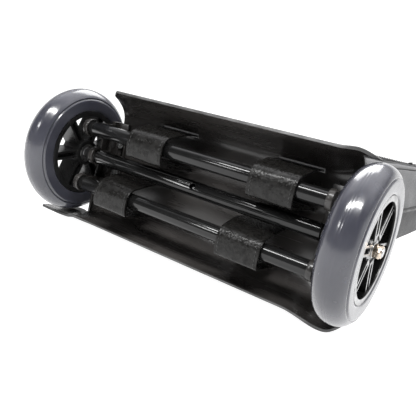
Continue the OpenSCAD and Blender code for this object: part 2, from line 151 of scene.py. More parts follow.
# -------------------- node graphs
class Graph:
    """A new material and short calls for the nodes that the materials share."""

    def __init__(self, name, roughness=0.5, **sockets):
        self.material = bpy.data.materials.new(name)
        self.material.use_nodes = True
        self.tree = self.material.node_tree
        self.shader = self.tree.nodes["Principled BSDF"]
        self.coords = self.tree.nodes.new("ShaderNodeTexCoord").outputs["Object"]
        self.set(Roughness=roughness, **sockets)

    def set(self, **sockets):
        """Sets values of the shader's sockets."""
        for socket, value in sockets.items():
            self.shader.inputs[socket.replace("_", " ")].default_value = value

    def node(self, kind, links=(), **settings):
        """A node with its settings and values, and links from other nodes' outputs."""
        made = self.tree.nodes.new("ShaderNode" + kind)
        for key, value in settings.items():
            if hasattr(made, key):
                setattr(made, key, value)
            else:
                made.inputs[key.replace("_", " ")].default_value = value
        for socket, source in dict(links).items():
            self.tree.links.new(source, made.inputs[socket])
        return made

    def to_shader(self, socket, source):
        """Links another node's output to one of the shader's sockets."""
        self.tree.links.new(source, self.shader.inputs[socket])

    def stretched(self, scale):
        """The object's coordinates, multiplied by a factor along each axis."""
        made = self.node("Mapping", {"Vector": self.coords})
        made.inputs["Scale"].default_value = scale
        return made.outputs["Vector"]

    def noise(self, scale, detail=3, stretch=None, distortion=0):
        vector = self.stretched(stretch) if stretch else self.coords
        return self.node("TexNoise", {"Vector": vector}, Scale=scale, Detail=detail,
                         Distortion=distortion).outputs["Fac"]

    def pebbles(self, scale):
        """Rounded cells: the distance from the middle of each."""
        return self.node("TexVoronoi", {"Vector": self.coords}, feature="SMOOTH_F1",
                         Scale=scale).outputs["Distance"]

    def math(self, operation, a, b=0.0):
        """A math node; each side is a number or another node's output."""
        made = self.tree.nodes.new("ShaderNodeMath")
        made.operation = operation
        for index, value in enumerate((a, b)):
            if isinstance(value, (int, float)):
                made.inputs[index].default_value = value
            else:
                self.tree.links.new(value, made.inputs[index])
        return made.outputs[0]

    def ramp(self, source, stops):
        """Colours or greys at places along a value from 0 to 1."""
        made = self.node("ValToRGB", {"Fac": source})
        elements = made.color_ramp.elements
        for index, (place, colour) in enumerate(stops):
            element = elements[index] if index < 2 else elements.new(place)
            element.position = place
            value = colour if hasattr(colour, "__len__") else (colour, colour, colour)
            element.color = (*value, 1)
        return made.outputs["Color"]

    def spread(self, source, low, high):
        """A value from 0 to 1, spread from low to high."""
        made = self.node("MapRange", {"Value": source})
        made.inputs["To Min"].default_value = low
        made.inputs["To Max"].default_value = high
        return made.outputs["Result"]

    def bump(self, height, distance, strength=1.0):
        made = self.node("Bump", {"Height": height}, Strength=strength, Distance=distance)
        self.to_shader("Normal", made.outputs["Normal"])

    def colour(self, source, stops):
        self.to_shader("Base Color", self.ramp(source, stops))

    def rough(self, source, low, high):
        self.to_shader("Roughness", self.spread(source, low, high))


def grey(value, tint=(1, 1, 1)):
    """A grey, multiplied by a tint."""
    return tuple(value * t for t in tint)


# -------------------- materials
def floor_material():
    """White, with a glow that fades towards the camera."""
    g = Graph("floor_white", 0.9)
    g.set(Emission_Color=(1, 1, 1, 1))
    along = g.node("SeparateXYZ", {0: g.coords}).outputs[1]
    lit = g.node("MapRange", {"Value": along})
    lit.inputs["From Min"].default_value = -1.5
    lit.inputs["From Max"].default_value = -0.5
    lit.inputs["To Min"].default_value = 0.3
    lit.inputs["To Max"].default_value = 0.95
    g.to_shader("Emission Strength", lit.outputs["Result"])
    g.colour(g.noise(3), [(0.3, 0.28), (0.7, 0.32)])
    return g.material


def tyre_material():
    """Glossy, slightly translucent bluish grey polyurethane."""
    g = Graph("tyre", 0.2, Coat_Weight=0.7, Coat_Roughness=0.08, Specular_IOR_Level=0.6,
              Subsurface_Weight=0.25, Subsurface_Scale=0.012)
    g.shader.inputs["Subsurface Radius"].default_value = (0.9, 1.0, 1.2)
    cloudy = g.noise(26, 4, distortion=0.6)
    g.colour(cloudy, [(0.3, (0.042, 0.043, 0.056)), (0.7, (0.06, 0.061, 0.076))])
    g.rough(g.noise(60, 5), 0.12, 0.34)
    g.bump(g.noise(700, 3), 0.00006, 0.5)
    return g.material


def shell_material():
    """Gloss black moulded sheet with faint waviness, fine scratches and handling marks; warm lighter
    patches in its colour are a painted reflection of the surroundings.
    """
    g = Graph("black_gloss", 0.2, Specular_IOR_Level=0.6)
    warm = (1.08, 1, 0.95)
    smudge_and_reflection = g.noise(16, 5, stretch=(0.35, 1, 1), distortion=0.8)
    scratch = g.noise(340, 2, stretch=(0.04, 1, 1))
    # One noise gives handling marks in the roughness and, in the colour, warm lighter patches that are a
    # painted reflection.
    g.colour(smudge_and_reflection, [(0.35, grey(0.012, warm)), (0.68, grey(0.05, warm))])
    g.rough(g.math("ADD", g.math("MULTIPLY", smudge_and_reflection, 0.75), g.math("MULTIPLY", scratch, 0.25)),
            0.1, 0.42)
    wavy = g.math("ADD", g.math("MULTIPLY", g.noise(24, 2), 4.0), g.math("MULTIPLY", scratch, 0.12))
    g.bump(wavy, 0.00035, 0.45)
    return g.material


def edge_material():
    """The cut edge of the sheet: its colour is painted paler than the faces, a painted highlight along
    the lips, with streaky variation.
    """
    g = Graph("shell_edge_highlight", 0.45)
    g.colour(g.noise(210, 4, stretch=(0.3, 1, 1)), [(0.35, 0.04), (0.7, 0.13)])
    g.rough(g.noise(300, 3), 0.3, 0.6)
    g.bump(g.noise(900, 2), 0.0001)
    return g.material


def hub_material():
    """Gloss black moulded nylon, with a fine texture and slight flow marks."""
    g = Graph("hub_plastic", 0.25, Specular_IOR_Level=0.45)
    g.colour(g.noise(60, 3), [(0.3, 0.006), (0.7, 0.012)])
    g.rough(g.noise(130, 4), 0.18, 0.42)
    g.bump(g.noise(1100, 2), 0.00007, 0.6)
    return g.material


def rib_material():
    """A brighter metallic finish for the outer faces of the wheel's ribs and rings: a painted glint in
    place of the lights' reflection on black plastic.
    """
    g = Graph("rib_face_painted_glint", 0.3, Metallic=0.75)
    g.colour(g.noise(160, 4), [(0.35, 0.32), (0.7, 0.6)])
    g.rough(g.noise(240, 4), 0.2, 0.45)
    g.bump(g.noise(900, 2), 0.00008)
    return g.material


def tube_material():
    """Black enamelled steel tube, drawn along its length."""
    g = Graph("tube_black", 0.12, Specular_IOR_Level=0.5)
    drawn = g.noise(420, 3, stretch=(0.015, 1, 1))
    g.colour(g.noise(30, 4), [(0.3, 0.005), (0.75, 0.012)])
    g.rough(g.math("ADD", g.math("MULTIPLY", drawn, 0.5), g.math("MULTIPLY", g.noise(40, 4), 0.5)),
            0.05, 0.22)
    g.bump(drawn, 0.00004, 0.4)
    return g.material


def metal_material(name, low, high, roughness, stretch=(1, 1, 0.03)):
    """Bright metal with a brushed or turned finish and a little tarnish."""
    g = Graph(name, 0.25, Metallic=1.0)
    g.colour(g.noise(90, 4), [(0.3, low), (0.7, high)])
    brushed = g.noise(500, 3, stretch=stretch)
    g.rough(brushed, *roughness)
    g.bump(brushed, 0.00005, 0.6)
    return g.material


def leather_material():
    """Black grained vinyl: rounded pebbles with creases between them."""
    g = Graph("strap", 0.4)
    warm = (1.05, 1, 0.93)
    pebbles = g.pebbles(480)
    creases = g.noise(170, 3)
    height = g.math("SUBTRACT", g.math("MULTIPLY", creases, 0.5), pebbles)
    g.colour(g.noise(260, 3), [(0.35, grey(0.005, warm)), (0.7, grey(0.013, warm))])
    worn = g.noise(130, 4)
    g.rough(worn, 0.16, 0.4)
    g.to_shader("Specular IOR Level", g.spread(worn, 0.1, 0.5))
    g.bump(height, 0.00035, 0.75)
    return g.material


def weave_material(name, dark, light, pitch=0.0011, tint=(1, 1, 1.03), roughness=0.85):
    """Plain-weave cloth. Threads run along Y and across it, on any of the bag's faces."""
    g = Graph(name, roughness, Sheen_Weight=0.25, Sheen_Roughness=0.5)
    split = g.node("SeparateXYZ", {0: g.coords})
    across = g.math("ADD", split.outputs[0], split.outputs[2])
    turns = math.pi / pitch
    warp = g.math("SINE", g.math("MULTIPLY", across, turns))
    weft = g.math("SINE", g.math("MULTIPLY", split.outputs[1], turns))
    woven = g.math("ADD", g.math("MULTIPLY", g.math("MULTIPLY", warp, weft), 0.5), 0.5)
    slub = g.noise(900, 2, stretch=(1, 0.15, 1))
    mixed = g.math("ADD", g.math("MULTIPLY", woven, 0.4),
                   g.math("ADD", g.math("MULTIPLY", slub, 0.3), g.math("MULTIPLY", g.noise(14, 5), 0.3)))
    g.colour(mixed, [(0.25, grey(dark, tint)), (0.75, grey(light, tint))])
    g.bump(g.math("ADD", woven, g.math("MULTIPLY", slub, 0.6)), 0.00035, 0.8)
    return g.material


def mesh_material():
    """Open square netting: threads with holes between them."""
    g = Graph("door_mesh", 0.7, Sheen_Weight=0.2)
    g.colour(g.noise(300, 3), [(0.3, 0.008), (0.7, 0.03)])
    split = g.node("SeparateXYZ", {0: g.coords})
    pitch = 0.0032
    thread_level = 0.42
    turns = 2 * math.pi / pitch
    across = g.math("ADD", split.outputs[0], split.outputs[2])
    wave_across = g.math("SINE", g.math("MULTIPLY", across, turns))
    wave_along = g.math("SINE", g.math("MULTIPLY", split.outputs[1], turns))
    openness = g.math("ABSOLUTE", g.math("MULTIPLY", wave_across, wave_along))
    g.to_shader("Alpha", g.math("LESS_THAN", openness, thread_level))
    g.bump(g.noise(900, 2), 0.0002)
    return g.material


def fleece_material():
    """Grey fleece with a soft pile."""
    g = Graph("cushion", 0.95, Sheen_Weight=0.6, Sheen_Roughness=0.6)
    pile = g.noise(420, 5, distortion=1.5)
    g.colour(pile, [(0.3, (0.16, 0.16, 0.17)), (0.7, (0.34, 0.34, 0.35))])
    g.bump(pile, 0.0016)
    return g.material


def webbing_material():
    """Ribbed nylon webbing."""
    g = Graph("webbing", 0.6, Sheen_Weight=0.3)
    rib_turns = 4200
    split = g.node("SeparateXYZ", {0: g.coords})
    along = g.math("ADD", split.outputs[0], split.outputs[1])
    ribs = g.math("SINE", g.math("MULTIPLY", along, rib_turns))
    g.colour(g.noise(500, 3), [(0.3, 0.01), (0.7, 0.035)])
    g.bump(ribs, 0.0003)
    return g.material


def grained_material(name, dark, light, roughness=(0.35, 0.6), grain=900, depth=0.00018, **sockets):
    """Moulded plastic or rubber with a fine grain."""
    g = Graph(name, 0.5, **sockets)
    g.colour(g.noise(50, 4), [(0.3, dark), (0.7, light)])
    g.rough(g.noise(120, 3), *roughness)
    g.bump(g.noise(grain, 3), depth)
    return g.material


MATERIALS = {
    "tyre": tyre_material(),
    "black_gloss": shell_material(),
    "shell_edge_highlight": edge_material(),
    "hub_plastic": hub_material(),
    "rib_face_painted_glint": rib_material(),
    "tube_black": tube_material(),
    "steel": metal_material("steel", 0.45, 0.62, (0.18, 0.4), (1, 1, 1)),
    "nut": metal_material("nut", (0.5, 0.4, 0.31), (0.85, 0.75, 0.64), (0.12, 0.3)),
    "bearing": metal_material("bearing", 0.3, 0.5, (0.2, 0.4)),
    "strap": leather_material(),
    "fabric_grey": weave_material("fabric_grey", 0.055, 0.16),
    "fabric_black": weave_material("fabric_black", 0.016, 0.05),
    "door_mesh": mesh_material(),
    "cushion": fleece_material(),
    "board": grained_material("board", 0.015, 0.04, (0.5, 0.8), 500, 0.0004),
    "aluminium": metal_material("aluminium", 0.5, 0.66, (0.2, 0.42), (1, 0.02, 1)),
    "black_matte": grained_material("black_matte", 0.008, 0.018),
    "rubber": grained_material("rubber", 0.007, 0.016, (0.6, 0.85), 600, 0.0003),
    "button": grained_material("button", 0.1, 0.15, (0.3, 0.5)),
    "zip_metal": metal_material("zip_metal", 0.4, 0.6, (0.2, 0.4), (1, 1, 1)),
    "webbing": webbing_material(),
    "stitch": grained_material("stitch", 0.03, 0.09, (0.6, 0.8), 1500, 0.0002),
    "piping": grained_material("piping", 0.006, 0.02, (0.4, 0.65), 1400, 0.0002, Sheen_Weight=0.2),
}


# -------------------- mesh helpers
BOX_FACES = ((0, 1, 3, 2), (4, 6, 7, 5), (0, 4, 5, 1), (2, 3, 7, 6), (0, 2, 6, 4), (1, 5, 7, 3))


def new_piece(name, vertices, faces, material, body, rounded=True):
    """A mesh with one material that rides on a body, shaded smooth if it is rounded."""
    mesh = bpy.data.meshes.new(name)
    mesh.from_pydata([tuple(v) for v in vertices], [], faces)
    mesh.update()
    piece = bpy.data.objects.new(name, mesh)
    bpy.context.scene.collection.objects.link(piece)
    piece.data.materials.append(MATERIALS[material])
    if rounded:
        piece.data.shade_smooth()
    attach(piece, body)
    return piece


def apply_modifiers(piece):
    """The piece's mesh with its modifiers applied, so that the mesh itself is final."""
    bpy.context.view_layer.update()
    graph = bpy.context.evaluated_depsgraph_get()
    mesh = bpy.data.meshes.new_from_object(piece.evaluated_get(graph))
    piece.modifiers.clear()
    piece.data = mesh


def fix_normals(piece):
    """Joins vertices that coincide and turns all faces outwards."""
    work = bmesh.new()
    work.from_mesh(piece.data)
    bmesh.ops.remove_doubles(work, verts=work.verts, dist=1e-6)
    bmesh.ops.recalc_face_normals(work, faces=work.faces)
    work.to_mesh(piece.data)
    work.free()


def grid_faces(rows, columns, wrap_rows=False, wrap_columns=False):
    """Quads of a grid whose vertices are listed row by row."""
    row_count = rows if wrap_rows else rows - 1
    column_count = columns if wrap_columns else columns - 1
    return [(r * columns + c,
             (r + 1) % rows * columns + c,
             (r + 1) % rows * columns + (c + 1) % columns,
             r * columns + (c + 1) % columns)
            for r in range(row_count) for c in range(column_count)]


def add_bevel(piece, width, angle=30):
    """A fine bevel on edges sharper than an angle in degrees."""
    bevel = piece.modifiers.new("bevel", "BEVEL")
    bevel.width = width
    bevel.segments = 2
    bevel.limit_method = "ANGLE"
    bevel.angle_limit = math.radians(angle)
    return bevel


def add_thickness(piece, thickness, offset=0):
    """Turns a sheet into a solid: offset 0 grows both ways, -1 inwards."""
    thick = piece.modifiers.new("thickness", "SOLIDIFY")
    thick.thickness = thickness
    thick.offset = offset


def add_smoothing(piece):
    """One level of subdivision, in the viewport and in renders."""
    smoother = piece.modifiers.new("smooth", "SUBSURF")
    smoother.levels = 1
    smoother.render_levels = 1


def direction(path, i, closed):
    """The direction of a path at one of its points."""
    count = len(path)
    ahead = path[(i + 1) % count] if closed or i + 1 < count else path[i]
    behind = path[i - 1] if closed or i > 0 else path[i]
    return (ahead - behind).normalized()


def sleeve(name, vertices, sides, material, body, closed=False):
    """A surface through rings of points, capped at its ends unless it closes on itself."""
    count = len(vertices) // sides
    faces = grid_faces(count, sides, wrap_rows=closed, wrap_columns=True)
    if not closed:
        faces.append(tuple(range(sides)))
        faces.append(tuple(range((count - 1) * sides, count * sides)))
    piece = new_piece(name, vertices, faces, material, body)
    fix_normals(piece)
    return piece


def band_profile(width, thickness, sides, roundness):
    """The rounded section of a flat band: the smaller its roundness, the squarer its edges."""
    turns = [2 * math.pi * k / sides for k in range(sides)]
    return [(0.5 * width * abs(math.cos(a)) ** roundness * math.copysign(1, math.cos(a)),
             0.5 * thickness * math.sin(a)) for a in turns]


def tube_along(name, path, radius, material, body, sides=10, closed=False):
    """A round cord, piping or wire along a path of points."""
    rings = []
    side = None
    for i, point in enumerate(path):
        forward = direction(path, i, closed)
        if side is None:
            side = forward.orthogonal().normalized()
        side = (side - forward * side.dot(forward)).normalized()
        other = forward.cross(side)
        rings += [point + radius * (math.cos(a) * side + math.sin(a) * other)
                  for a in (2 * math.pi * k / sides for k in range(sides))]
    return sleeve(name, rings, sides, material, body, closed)


def level_band(name, path, width, thickness, material, body, closed=False):
    """A flat band laid level along a path; width and thickness are in millimetres."""
    sides = 10
    profile = band_profile(width * MM, thickness * MM, sides, 0.3)
    vertices = []
    for i, point in enumerate(path):
        across = Vector((0, 0, 1)).cross(direction(path, i, closed)).normalized()
        vertices += [point + across * w + Vector((0, 0, h)) for w, h in profile]
    return sleeve(name, vertices, sides, material, body, closed)


def stitches(name, path, body, offset=(0, 0, 0), length=0.0026, gap=0.0016, radius=0.00035):
    """A row of raised threads along a path, each a small rounded bar."""
    sides = 6
    points = [p + Vector(offset) for p in path]
    lengths = [0.0]
    for a, b in zip(points, points[1:]):
        lengths.append(lengths[-1] + (b - a).length)

    def at(distance):
        """The point of the path at a distance from its start."""
        for i in range(1, len(points)):
            if lengths[i] >= distance or i == len(points) - 1:
                span = max(lengths[i] - lengths[i - 1], 1e-9)
                return points[i - 1].lerp(points[i], (distance - lengths[i - 1]) / span)

    vertices, faces = [], []
    start = gap
    while start + length < lengths[-1]:
        a, b = at(start), at(start + length)
        forward = (b - a).normalized()
        side = forward.orthogonal().normalized()
        other = forward.cross(side)
        base = len(vertices)
        for share, size in ((0.0, 0.4), (0.25, 1.0), (0.75, 1.0), (1.0, 0.4)):
            centre = a.lerp(b, share)
            vertices += [centre + radius * size * (math.cos(t) * side + math.sin(t) * other)
                         for t in (2 * math.pi * k / sides for k in range(sides))]
        faces += [tuple(base + v for v in f) for f in grid_faces(4, sides, wrap_columns=True)]
        faces.append(tuple(base + k for k in range(sides)))
        faces.append(tuple(base + 3 * sides + k for k in range(sides)))
        start += length + gap
    return new_piece(name, vertices, faces, "stitch", body)


# -------------------- CAD nodes that stay
# How squarely a face must look outwards to take the painted glint; the bevel and weld in metres, the
# angle in degrees
RIB_FACE_LEVEL = 0.9
CAD_BEVEL = 0.0004
CAD_BEVEL_ANGLE = 38
CAD_WELD = 0.00001


def finish_cad_nodes():
    """Gives each CAD node its material and a fine bevel on its sharp edges."""
    slots = {s["node"]: s["material_slot"] for s in frame["record"]["subparts"]}
    for name, piece in NODES.items():
        piece.data.materials.clear()
        piece.data.materials.append(MATERIALS[slots[name]])
        piece.data.shade_smooth()
        weld = piece.modifiers.new("weld", "WELD")
        weld.merge_threshold = CAD_WELD
        add_bevel(piece, CAD_BEVEL, CAD_BEVEL_ANGLE).harden_normals = True


def paint_rim_glint(side):
    """The outer faces of the rim, hub and ribs carry a brighter metallic finish, a painted glint in
    place of the lights' reflection.
    """
    piece = NODES["rim_left" if side < 0 else "rim_right"]
    piece.data.materials.append(MATERIALS["rib_face_painted_glint"])
    # Faces that look outwards get the painted glint material.
    for face in piece.data.polygons:
        if face.normal.x * side > RIB_FACE_LEVEL:
            face.material_index = 1


# -------------------- tyres
# The crown is part of an ellipse: its half width, half height and centre's radius in millimetres
CROWN_HALF = 16.4
CROWN_HEIGHT = 13.6
CROWN_CENTRE = 61.4
TYRE_TURNS = 160


def tyre_profile():
    """Half of a tyre's section in millimetres: distance from the wheel's middle, radius."""
    crown = [(CROWN_HALF * math.sin(a), CROWN_CENTRE + CROWN_HEIGHT * math.cos(a))
             for a in (math.radians(5 * k) for k in range(14))]
    wall = [(15.5, 66.2), (14.6, 65.6), (14.6, 65.0), (15.9, 64.7), (16.45, 64.0), (16.5, 62),
            (16.5, 58), (16.45, 54), (16.3, 52.6), (15.6, 51.4), (14.6, 50.6)]
    return crown + wall


def make_tyre(side):
    """A tyre with a thin mould seam round its crown and a groove at each shoulder."""
    name = "tyre_left" if side < 0 else "tyre_right"
    half = tyre_profile()
    seam = [(0.0, 75.0), (0.45, 74.75)]
    right = seam + [p for p in half if p[0] > 0.8]
    outline = [(-a, r) for a, r in reversed(right[1:])] + right
    centre = node_centre(name)
    vertices = []
    for k in range(TYRE_TURNS):
        a = 2 * math.pi * k / TYRE_TURNS
        vertices += [centre + Vector((w * MM, r * MM * math.sin(a), r * MM * math.cos(a)))
                     for w, r in outline]
    faces = grid_faces(TYRE_TURNS, len(outline), wrap_rows=True, wrap_columns=True)
    piece = new_piece("pu_" + name, vertices, faces, "tyre", "wheel_left" if side < 0 else "wheel_right")
    fix_normals(piece)
    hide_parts(name)


# -------------------- base shell
# In millimetres along the axle (x), up and out from it; FLOOR_SHARE is a share of half the section
SHELL_WALL = 2.6
LIP_HALF = 80
LIP_FORWARD = 8
FLOOR_HALF = 44
FLOOR_DEPTH = 34
FLOOR_SHARE = 0.25
WELL_START = 160
WELL_LENGTH = 70
WELL_RADIUS = 77.2
WALL_X = 155
WALL_TOP = 30
WALL_FRONT = -11
STRAP_X = (-57, 96, -90, 78)
STRAP_WIDTH = 48
STRAP_REACH = 20
SLOT_HALF = 2.2
SLOT_MARGIN = 2
TUBE_UP = 33
TUBE_OUT = 15.6


def smooth(t):
    """An eased step from 0 to 1."""
    t = min(max(t, 0), 1)
    return t * t * (3 - 2 * t)


def past(value, start, span):
    """The square of how far a value is past a start, as a share of a span."""
    return (max(value - start, 0) / span) ** 2


def lip_point(x, high):
    """Where the lip runs at a place along the axle, as (up, out)."""
    a = abs(x)
    if high:
        rise = 1.5 * smooth((a - 140) / 18) - 14 * past(a, 157, 31)
        return LIP_HALF + rise, LIP_FORWARD - 14 * past(a, 162, 26)
    if x < 0:
        rise = 2.6 * smooth((a - 160) / 14) - 6 * past(a, 176, 24)
        return LIP_HALF + rise, LIP_FORWARD + 16.6 * past(a, 170, 30)
    flare = 5.5 * smooth((a - 128) / 44) - 12 * past(a, 172, 16)
    return LIP_HALF + flare, LIP_FORWARD - 14 * past(a, 162, 26)


def shell_section(t, x):
    """A point of the shell's section, from the lower lip (t = -1) to the upper lip (t = 1)."""
    share = abs(t)
    if share < FLOOR_SHARE:
        up, out = FLOOR_HALF * share / FLOOR_SHARE, -FLOOR_DEPTH
    else:
        u = (share - FLOOR_SHARE) / (1 - FLOOR_SHARE)
        v = 1 - u
        bulge = 6 * smooth((abs(x) - 128) / 34)
        lip = lip_point(x, t > 0)
        hull = ((FLOOR_HALF, -FLOOR_DEPTH), (LIP_HALF - 16, -FLOOR_DEPTH),
                (LIP_HALF - 13 + 2 * bulge, -13 - bulge), lip)
        weights = (v ** 3, 3 * v * v * u, 3 * v * u * u, u ** 3)
        up, out = (sum(w * p[k] for w, p in zip(weights, hull)) for k in (0, 1))
    return (-up if t < 0 else up), out


def shell_ring(x, steps=96):
    """The closed outline of the sheet at a place along the axle, a little thicker at its lips."""
    inner, outer = [], []
    for i in range(steps + 1):
        t = -1 + 2 * i / steps
        up, out = shell_section(t, x)
        ahead = shell_section(min(t + 0.01, 1), x)
        behind = shell_section(max(t - 0.01, -1), x)
        d_up, d_out = ahead[0] - behind[0], ahead[1] - behind[1]
        size = math.hypot(d_up, d_out)
        half = SHELL_WALL / 2 + 0.25 * smooth((abs(t) - 0.93) / 0.05)
        n_up, n_out = d_out / size * half, -d_up / size * half
        inner.append((up + n_up, out + n_out))
        outer.append((up - n_up, out - n_out))
    return inner + outer[::-1]


def box_cutter(vertices, faces, x, up, out):
    """Adds a box, given by its spans along the axle, up and out, to a list of cutters."""
    base = len(vertices)
    vertices += [base_point(x[i], up[j], out[k]) for i in (0, 1) for j in (0, 1) for k in (0, 1)]
    faces += [tuple(base + v for v in face) for face in BOX_FACES]


def prism(vertices, faces, outline, low, high, place):
    """Adds a prism over an outline to a list of cutters; place(a, b, level) gives its points."""
    base, n = len(vertices), len(outline)
    for level in (low, high):
        vertices += [place(a, b, level) for a, b in outline]
    faces += [tuple(base + i for i in range(n)), tuple(base + n + i for i in range(n))]
    faces += [(base + i, base + (i + 1) % n, base + n + (i + 1) % n, base + n + i) for i in range(n)]


def shell_cutters():
    """The wheel wells, the straps' slots and the cut-back upper left corner, as one cutter."""
    vertices, faces = [], []
    circle = [(WELL_RADIUS * math.cos(a), WELL_RADIUS * math.sin(a))
              for a in (2 * math.pi * k / 120 for k in range(120))]
    for side in (-1, 1):
        prism(vertices, faces, circle, side * WELL_START, side * (WELL_START + WELL_LENGTH),
              lambda up, out, x: base_point(x, up, out))
    half = STRAP_WIDTH / 2 + SLOT_MARGIN
    for i, middle in enumerate(STRAP_X):
        tube = TUBE_UP if i < 2 else -TUBE_UP
        for reach in (-STRAP_REACH, STRAP_REACH):
            box_cutter(vertices, faces, (middle - half, middle + half),
                       (tube + reach - SLOT_HALF, tube + reach + SLOT_HALF), (-60, -20))
    corner = [(-250, -70), (-146, -70), (-146, -20), (-144.5, -12), (-141.5, -5), (-138, 0.5),
              (-134.5, 4), (-131.5, 6), (-129.6, 8), (-129, 12), (-129, 60), (-250, 60)]
    prism(vertices, faces, corner, 30, 110, lambda x, out, up: base_point(x, up, out))
    cutter = new_piece("shell_cutter", vertices, faces, "shell_edge_highlight", "chassis", rounded=False)
    fix_normals(cutter)
    return cutter


def shell_stations():
    """Places along the axle: close together over the wheels, wider apart between them."""
    near = [-200 + 2 * k for k in range(36)]
    middle = [-128 + 8 * k for k in range(32)]
    far = [128 + 2 * k for k in range(31)]
    return near + middle + far


def make_shell():
    """The open trough, with its wheel wells, slots and end walls."""
    stations = shell_stations()
    rings = [shell_ring(x) for x in stations]
    columns = len(rings[0])
    vertices = [base_point(x, up, out) for x, ring in zip(stations, rings) for up, out in ring]
    faces = grid_faces(len(stations), columns, wrap_columns=True)
    last = (len(stations) - 1) * columns
    half = columns // 2
    for base in (0, last):
        faces += [(base + i, base + i + 1, base + columns - 2 - i, base + columns - 1 - i)
                  for i in range(half - 1)]
    piece = new_piece("base_shell", vertices, faces, "black_gloss", "chassis", rounded=False)
    piece.data.materials.append(MATERIALS["shell_edge_highlight"])
    # The lip faces take the edge material, whose paler colour is a painted highlight.
    edges = {half - 1, columns - 1}
    for index, face in enumerate(piece.data.polygons[:(len(stations) - 1) * columns]):
        face.material_index = 1 if index % columns in edges else 0
    fix_normals(piece)
    cutter = shell_cutters()
    cut = piece.modifiers.new("cut", "BOOLEAN")
    cut.object = cutter
    cut.operation = "DIFFERENCE"
    cut.solver = "EXACT"
    cut.material_mode = "INDEX"
    cut.use_self = True
    add_bevel(piece, 0.0005, 45)
    apply_modifiers(piece)
    bpy.data.objects.remove(cutter)
    piece.data.shade_smooth()
    piece.data.set_sharp_from_angle(angle=math.radians(50))
    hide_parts("shell")
    for side in (-1, 1):
        make_end_wall(side)


def make_end_wall(side):
    """The flat wall inside each end of the shell."""
    outline = []
    for i in range(61):
        up, out = shell_section(-1 + 2 * i / 60, WALL_X)
        if up < WALL_TOP:
            outline.append((up, min(out, WALL_FRONT)))
    outline.append((WALL_TOP, WALL_FRONT))
    vertices, faces = [], []
    prism(vertices, faces, outline, side * WALL_X, side * (WALL_X + SHELL_WALL),
          lambda up, out, x: base_point(x, up, out))
    name = "end_wall_left" if side < 0 else "end_wall_right"
    wall = new_piece(name, vertices, faces, "black_gloss", "chassis", rounded=False)
    fix_normals(wall)
    add_bevel(wall, 0.0006)
    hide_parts("shell")


# -------------------- straps
def strap_path(share, seed):
    """The strap's path round its tube at a share of its width, as (up, out) from the tube."""
    sway = 0.7 * noise.noise(Vector((share * 2.2, seed, 0)))
    shoulder = 17.5 - 5.0 * share
    depth = -14 + 15 * share
    corners = [(-19.6, -49), (-19.0, -30), (-18.2, -4), (-17.2 + sway, 7.5), (-13.6, 10.9 + sway),
               (-6, 12.4 + sway), (3, 12.2 + sway), (8.6, 9.6), (12.6, 4.0),
               (shoulder, depth + 3), (shoulder + 1.6, depth - 3), (19.4, -30), (19.8, -49)]
    path = []
    for a, b, c, d in zip([corners[0]] + corners, corners, corners[1:], corners[2:] + [corners[-1]]):
        for k in range(6):
            u = k / 6
            path.append(tuple(0.5 * (2 * b[n] + (c[n] - a[n]) * u
                                     + (2 * a[n] - 5 * b[n] + 4 * c[n] - d[n]) * u * u
                                     + (3 * b[n] - a[n] - 3 * c[n] + d[n]) * u ** 3) for n in (0, 1)))
    path.append(corners[-1])
    return path


def strap_point(index, share, up, out):
    """A point of a strap, at a share of its width and up and out from its tube."""
    tube = TUBE_UP if index < 2 else -TUBE_UP
    x = STRAP_X[index] + STRAP_WIDTH * (share - 0.5)
    return base_point(x, tube + up, max(TUBE_OUT + out, 0.3 - FLOOR_DEPTH))


def make_strap(index, name):
    """A vinyl strap laid over its tube, with a row of stitches along each edge."""
    columns = 40
    vertices = []
    for c in range(columns + 1):
        share = c / columns
        vertices += [strap_point(index, share, up, out) for up, out in strap_path(share, index * 3.7)]
    rows = len(vertices) // (columns + 1)
    faces = grid_faces(columns + 1, rows)
    piece = new_piece("leather_" + name, vertices, faces, "strap", "chassis")
    fix_normals(piece)
    add_thickness(piece, 0.0019)
    add_bevel(piece, 0.0005)
    apply_modifiers(piece)
    piece.data.shade_smooth()
    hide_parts(name)
    for share, end in ((0.07, "a"), (0.93, "b")):
        path = [strap_point(index, share, up, out + 1.25) for up, out in strap_path(share, index * 3.7)
                if out > -4 and up < 12]
        row = stitches(f"{name}_stitch_{end}", path, "chassis")


# -------------------- carrier bag
# All in millimetres: x across, y along from the axle, z above the floor
BAG_X = 160
BAG_Z = (50, 160)
BAG_Y = (54, 484)
BAG_CORNER = 13
LOW_BAND = 48
DOOR_X = 123
DOOR_Y = (84.6, 440)


def bag_point(x, y, z):
    """A point of the carrier, in millimetres: across, along from the axle, and above the floor."""
    return Vector((x * MM, AXLE.y + y * MM, z * MM))


def bag_ring():
    """The bag's section, counter-clockwise from the middle of its under side, as (x, z)."""
    low, high = BAG_Z
    radius = BAG_CORNER
    inner = BAG_X - radius
    under = [(x, low) for x in range(0, inner, 14)]
    corner_low = [(inner + radius * math.sin(a), low + radius - radius * math.cos(a))
                  for a in (math.radians(15 * k) for k in range(7))]
    side = [(BAG_X, low + radius + (high - low - 2 * radius) * k / 9) for k in range(1, 9)]
    corner_high = [(inner + radius * math.cos(a), high - radius + radius * math.sin(a))
                   for a in (math.radians(15 * k) for k in range(7))]
    over = [(x, high) for x in (139, 131, DOOR_X, 108, 93, 78, 63, 48, 33, 16, 0)]
    right = under + corner_low + side + corner_high + over
    return right + [(-x, z) for x, z in right[-2:0:-1]]


